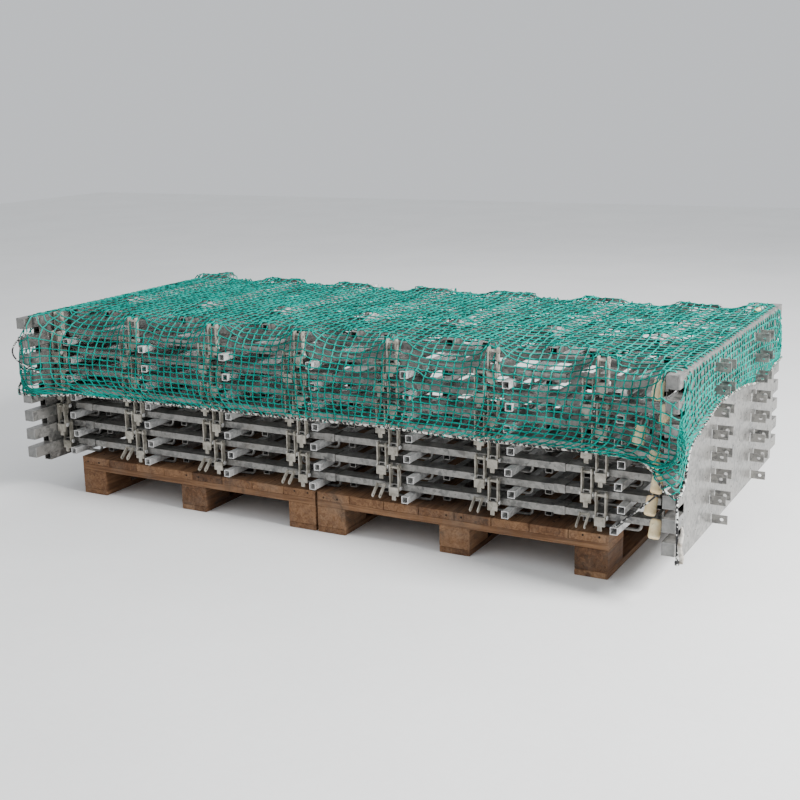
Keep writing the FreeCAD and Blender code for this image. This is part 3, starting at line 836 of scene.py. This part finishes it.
# Beyond this x the net lies on the end posts.
POSTS_FROM = 1.15
HEM_FRONT = [(-1.256, -0.656, 0.402), (-1.16, -0.650, 0.404), (-1.05, -0.585, 0.405), (-0.93, -0.552, 0.397),
             (-0.50, -0.549, 0.400), (-0.15, -0.549, 0.403), (0.20, -0.549, 0.413), (0.55, -0.549, 0.405),
             (0.93, -0.549, 0.411), (1.065, -0.556, 0.412), (1.135, -0.600, 0.416), (1.172, -0.645, 0.400),
             (1.196, -0.660, 0.362), (1.244, -0.658, 0.332)]
HEM_RIGHT = [(1.244, -0.658, 0.332), (1.251, -0.630, 0.345), (1.251, -0.598, 0.385), (1.251, -0.588, 0.437),
             (1.250, -0.552, 0.474), (1.250, -0.42, 0.490), (1.250, -0.33, 0.512), (1.250, -0.257, 0.5245),
             (1.250, -0.18, 0.523), (1.250, -0.05, 0.518), (1.250, 0.10, 0.508), (1.250, 0.20, 0.487),
             (1.250, 0.257, 0.483), (1.250, 0.32, 0.472), (1.250, 0.38, 0.465), (1.250, 0.505, 0.494),
             (1.246, 0.658, 0.493)]
HEM_BACK = [(1.246, 0.658, 0.493), (1.16, 0.650, 0.470), (1.05, 0.600, 0.482), (0.90, 0.560, 0.488),
            (0.45, 0.556, 0.468), (0.0, 0.556, 0.482), (-0.45, 0.556, 0.466), (-0.90, 0.560, 0.488),
            (-1.05, 0.600, 0.482), (-1.16, 0.650, 0.470), (-1.246, 0.658, 0.490)]
HEM_LEFT = [(-1.246, 0.658, 0.490), (-1.250, 0.50, 0.470), (-1.250, 0.33, 0.478), (-1.250, 0.257, 0.484),
            (-1.250, 0.18, 0.480), (-1.250, 0.0, 0.470), (-1.250, -0.18, 0.480), (-1.250, -0.257, 0.484),
            (-1.250, -0.36, 0.478), (-1.250, -0.50, 0.470), (-1.264, -0.60, 0.462), (-1.272, -0.645, 0.430),
            (-1.256, -0.656, 0.402)]
# How far the net follows the load along each direction: ears and caps poke out between the strings.
REACHES = ((2, 1, 0.72), (1, -1, 0.652), (1, 1, 0.652), (0, 1, 1.2440), (0, -1, 1.2440))


def unit(vectors):
    return vectors / np.maximum(np.linalg.norm(vectors, axis=-1), 1e-9)[..., None]


def distances(points):
    """How far along a path each of its points is."""
    steps = np.linalg.norm(np.diff(points, axis=0), axis=1)
    return np.concatenate([[0], np.cumsum(steps)])


def resample(points, count):
    """Evenly spaced points on a path."""
    distance = distances(points)
    wanted = np.linspace(0, distance[-1], count)
    return np.stack([np.interp(wanted, distance, points[:, axis]) for axis in range(3)], 1)


def along_path(points, count):
    """Evenly spaced points on a rounded polyline."""
    points = np.array(points, float)
    for _ in range(3):
        left = points[:-1] * 0.75 + points[1:] * 0.25
        right = points[:-1] * 0.25 + points[1:] * 0.75
        inner = np.stack([left, right], 1).reshape(-1, 3)
        points = np.vstack([points[:1], inner[1:-1], points[-1:]])
    return resample(points, count)


class Reach:
    """How far the load reaches along one direction, sampled on a grid of parallel rays."""

    STEP = 0.010

    def __init__(self, tree, axis, sign, limit, low, high):
        self.axis, self.sign = axis, sign
        self.across = [a for a in range(3) if a != axis]
        self.start = [low[a] for a in self.across]
        counts = [int((high[a] - low[a]) / self.STEP) + 2 for a in self.across]
        self.table = np.full(counts, -9.0)
        direction = Vector((0, 0, 0))
        direction[axis] = -sign
        origin = Vector((0, 0, 0))
        origin[axis] = sign * 3.0
        for i in range(counts[0]):
            origin[self.across[0]] = self.start[0] + i * self.STEP
            for j in range(counts[1]):
                origin[self.across[1]] = self.start[1] + j * self.STEP
                hit = tree.ray_cast(origin, direction)[0]
                if hit is not None:
                    self.table[i, j] = min(hit[axis] * sign, limit)

    def widen(self, times):
        """Let every sample reach as far as its neighbours, so that twine clears small edges."""
        for _ in range(times):
            rows, columns = self.table.shape
            padded = np.pad(self.table, 1, mode="edge")
            around = [padded[i:i + rows, j:j + columns] for i in range(3) for j in range(3)]
            self.table = np.maximum.reduce(around)
        return self

    def depth(self, points):
        """How far each point is inside, against this direction."""
        index = []
        for number, axis in enumerate(self.across):
            spot = np.round((points[:, axis] - self.start[number]) / self.STEP).astype(int)
            index.append(np.clip(spot, 0, self.table.shape[number] - 1))
        return self.table[index[0], index[1]] - points[:, self.axis] * self.sign


def load_reaches():
    """Rays against the panels from above and from all four sides."""
    vertices, faces = [], []
    for name, item in NODES.items():
        if not name.startswith("panel_"):
            continue
        start = len(vertices)
        vertices.extend(v.co.copy() for v in item.data.vertices)
        faces.extend([[start + index for index in polygon.vertices] for polygon in item.data.polygons])
    tree = BVHTree.FromPolygons(vertices, faces)
    low, high = (-1.32, -0.70, 0.30), (1.32, 0.70, 0.74)
    return [Reach(tree, axis, sign, limit, low, high).widen(2) for axis, sign, limit in REACHES]


def push_out(shape, reaches, gap):
    """Move nodes that are inside the load out of it by the shortest way."""
    points = shape.reshape(-1, 3)
    depths = np.stack([reach.depth(points) for reach in reaches], 1) + gap
    inside = depths.min(1) > 0
    nearest = depths.argmin(1)
    for number, reach in enumerate(reaches):
        chosen = inside & (nearest == number)
        points[chosen, reach.axis] += reach.sign * depths[chosen, number]


def first_shape():
    """The net's nodes folded round the load before it is pulled taut, and how firmly each stays put."""
    across, deep = np.meshgrid(
        np.linspace(-1, 1, NET_COLUMNS), np.linspace(-1, 1, NET_ROWS), indexing="ij")
    run_x = across * SPREAD_X
    run_y = deep * SPREAD_Y - 0.035
    over_x = np.maximum(np.abs(run_x) - WALL_X, 0)
    over_y = np.maximum(np.abs(run_y) - WALL_Y, 0)
    x = np.clip(run_x, -WALL_X, WALL_X)
    y = np.clip(run_y, -WALL_Y, WALL_Y)
    shape = np.stack([x, y, START_Z - np.hypot(over_x, over_y)], 2)
    on_posts = np.abs(run_x) > POSTS_FROM
    on_top = (np.abs(run_y) < 0.50) | on_posts
    firm = np.where(on_posts, 0.35, 0.05)
    hold = np.stack([(over_x == 0) * firm, (over_y == 0) * on_top * firm, np.zeros_like(x)], 2)
    shape[:, 0] = along_path(HEM_FRONT, NET_COLUMNS)
    shape[-1, :] = along_path(HEM_RIGHT, NET_ROWS)
    shape[:, -1] = along_path(HEM_BACK, NET_COLUMNS)[::-1]
    shape[0, :] = along_path(HEM_LEFT, NET_ROWS)[::-1]
    return shape, hold


def settle(steps, reaches):
    """Pull the net taut: every node goes to the middle of its four neighbours.  Then let it sway a little."""
    shape, hold = first_shape()
    home = shape[1:-1, 1:-1].copy()
    hold = hold[1:-1, 1:-1]
    for _ in range(steps):
        inner = (shape[2:, 1:-1] + shape[:-2, 1:-1] + shape[1:-1, 2:] + shape[1:-1, :-2]) / 4
        inner += hold * (home - inner)
        inner[..., 2] -= SINK
        push_out(inner, reaches, KNOT_GAP)
        shape[1:-1, 1:-1] = inner
    column, line = np.meshgrid(np.arange(NET_COLUMNS - 2), np.arange(NET_ROWS - 2), indexing="ij")
    slow = np.sin(column * 0.41 + line * 0.62)
    quick = np.sin(column * 1.13 - line * 0.47 + 1.3)
    sway = 0.0035 * slow + 0.0025 * quick
    inner = shape[1:-1, 1:-1].copy()
    inner[..., 0] += sway * (np.abs(inner[..., 0]) < 1.2)
    inner[..., 1] += np.roll(sway, 7, 0) * (np.abs(inner[..., 1]) < 0.5)
    push_out(inner, reaches, KNOT_GAP)
    shape[1:-1, 1:-1] = inner
    return shape


def twine_tubes(points):
    """Three-sided tubes along many short paths at once; points is (strings, steps, 3)."""
    along = unit(np.gradient(points, axis=1))
    side = unit(np.cross(along, np.array([0.31, 0.2, 0.93])))
    other = np.cross(along, side)
    angles = np.arange(3) * 2 * math.pi / 3
    ring = np.cos(angles)[:, None] * side[:, :, None] + np.sin(angles)[:, None] * other[:, :, None]
    vertices = (points[:, :, None] + TWINE_RADIUS * ring).reshape(-1, 3)
    steps = points.shape[1]
    pattern = np.array([(r * 3 + s, r * 3 + (s + 1) % 3, r * 3 + 3 + (s + 1) % 3, r * 3 + 3 + s)
                        for r in range(steps - 1) for s in range(3)])
    faces = (np.arange(len(points))[:, None, None] * steps * 3 + pattern[None]).reshape(-1, 4)
    return vertices, faces


def string_mesh(shape, reaches):
    """Twine between the knots, a little bowed; a string that would cut an edge of the load bends round it."""
    rng = np.random.default_rng(7)
    starts = np.concatenate([shape[:-1].reshape(-1, 3), shape[:, :-1].reshape(-1, 3)])
    ends = np.concatenate([shape[1:].reshape(-1, 3), shape[:, 1:].reshape(-1, 3)])
    quarters = np.stack([starts + (ends - starts) * share for share in (0.25, 0.5, 0.75)], 1).reshape(-1, 3)
    depths = np.stack([reach.depth(quarters) for reach in reaches], 1).min(1).reshape(-1, 3).max(1)
    vertices = np.zeros((0, 3))
    faces = []
    for chosen, steps in ((depths <= 0, 3), (depths > 0, 8)):
        start, end = starts[chosen], ends[chosen]
        share = np.linspace(0, 1, steps)[None, :, None]
        drop = np.array([0, 0, -0.0012]) + rng.normal(0, 0.0016, (len(start), 3))
        points = start[:, None] + (end - start)[:, None] * share + drop[:, None] * np.sin(share * math.pi)
        if steps > 3:
            inner = points[:, 1:-1].copy()
            push_out(inner, reaches, TWINE_GAP)
            points[:, 1:-1] = inner
        more, quads = twine_tubes(points)
        faces += (quads + len(vertices)).tolist()
        vertices = np.vstack([vertices, more])
    return vertices, faces


def knot_mesh(shape):
    """A small uneven lump at every crossing."""
    rng = np.random.default_rng(11)
    centres = shape.reshape(-1, 3)
    corners = np.array([(1, 0, 0), (0, 1, 0), (-1, 0, 0), (0, -1, 0), (0, 0, 1), (0, 0, -1)], float)
    scale = KNOT_RADIUS * rng.uniform(0.8, 1.15, (len(centres), 1, 3))
    vertices = (centres[:, None] + corners[None] * scale).reshape(-1, 3)
    upper = [(n, (n + 1) % 4, 4) for n in range(4)]
    lower = [((n + 1) % 4, n, 5) for n in range(4)]
    pattern = np.array(upper + lower)
    faces = (np.arange(len(centres))[:, None, None] * 6 + pattern[None]).reshape(-1, 3)
    return vertices, faces.tolist()


def tube_mesh(name, centres, radius, sides, paint, closed):
    """A round tube along many points."""
    count = len(centres)
    if closed:
        along = unit(np.roll(centres, -1, 0) - np.roll(centres, 1, 0))
    else:
        along = unit(np.gradient(centres, axis=0))
    side = unit(np.cross(along, np.array([0.0, 0.0, 1.0]) + along[:, [1, 2, 0]] * 0.01))
    other = np.cross(along, side)
    angles = np.arange(sides) * 2 * math.pi / sides
    ring = np.cos(angles)[None, :, None] * side[:, None] + np.sin(angles)[None, :, None] * other[:, None]
    vertices = (centres[:, None] + radius * ring).reshape(-1, 3)
    faces = []
    for step in range(count if closed else count - 1):
        low, high = step * sides, ((step + 1) % count) * sides
        for turn in range(sides):
            after = (turn + 1) % sides
            faces.append((low + turn, low + after, high + after, high + turn))
    return add_mesh(name, vertices, faces, [paint], None, True)


def net_piece(item):
    """Let a piece ride with the net."""
    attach(item, "net")
    return item


def make_hem(shape):
    """The elastic cord through the border meshes, with a pale thread wound round it."""
    border = np.concatenate([shape[:-1, 0], shape[-1, :-1], shape[:0:-1, -1], shape[0, :0:-1]])
    gaps = np.roll(border, -1, 0) - border
    fine = np.stack([border + gaps * part / 4 for part in range(4)], 1).reshape(-1, 3)
    for _ in range(10):
        fine = (np.roll(fine, 1, 0) + 2 * fine + np.roll(fine, -1, 0)) / 4
    cord = net_piece(tube_mesh("hem", fine, HEM_RADIUS, 8, "elastic_cord", True))
    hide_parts("hem_cord")
    closed = np.vstack([fine, fine[:1]])
    turns = int(distances(closed)[-1] / THREAD_PITCH)
    centre = resample(closed, turns * THREAD_STEPS)
    along = unit(np.gradient(centre, axis=0))
    side = unit(np.cross(along, np.array([0.1, 0.05, 1.0])))
    phase = (np.arange(len(centre)) / THREAD_STEPS * 2 * math.pi)[:, None]
    ring = np.cos(phase) * side + np.sin(phase) * np.cross(along, side)
    coil = centre + (HEM_RADIUS + THREAD_RADIUS / 2) * ring
    thread = tube_mesh("hem_thread", coil[:-1], THREAD_RADIUS, 4, "pale_thread", False)
    net_piece(thread)
    return cord, thread


def make_net():
    """The settled net: strings, knots and hem."""
    reaches = load_reaches()
    shape = settle(1500, reaches)
    net = net_piece(add_mesh("net", *string_mesh(shape, reaches), ["net_twine"]))
    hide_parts("load_net")
    knots = net_piece(add_mesh("net_knots", *knot_mesh(shape), ["net_twine"]))
    make_hem(shape)


make_net()
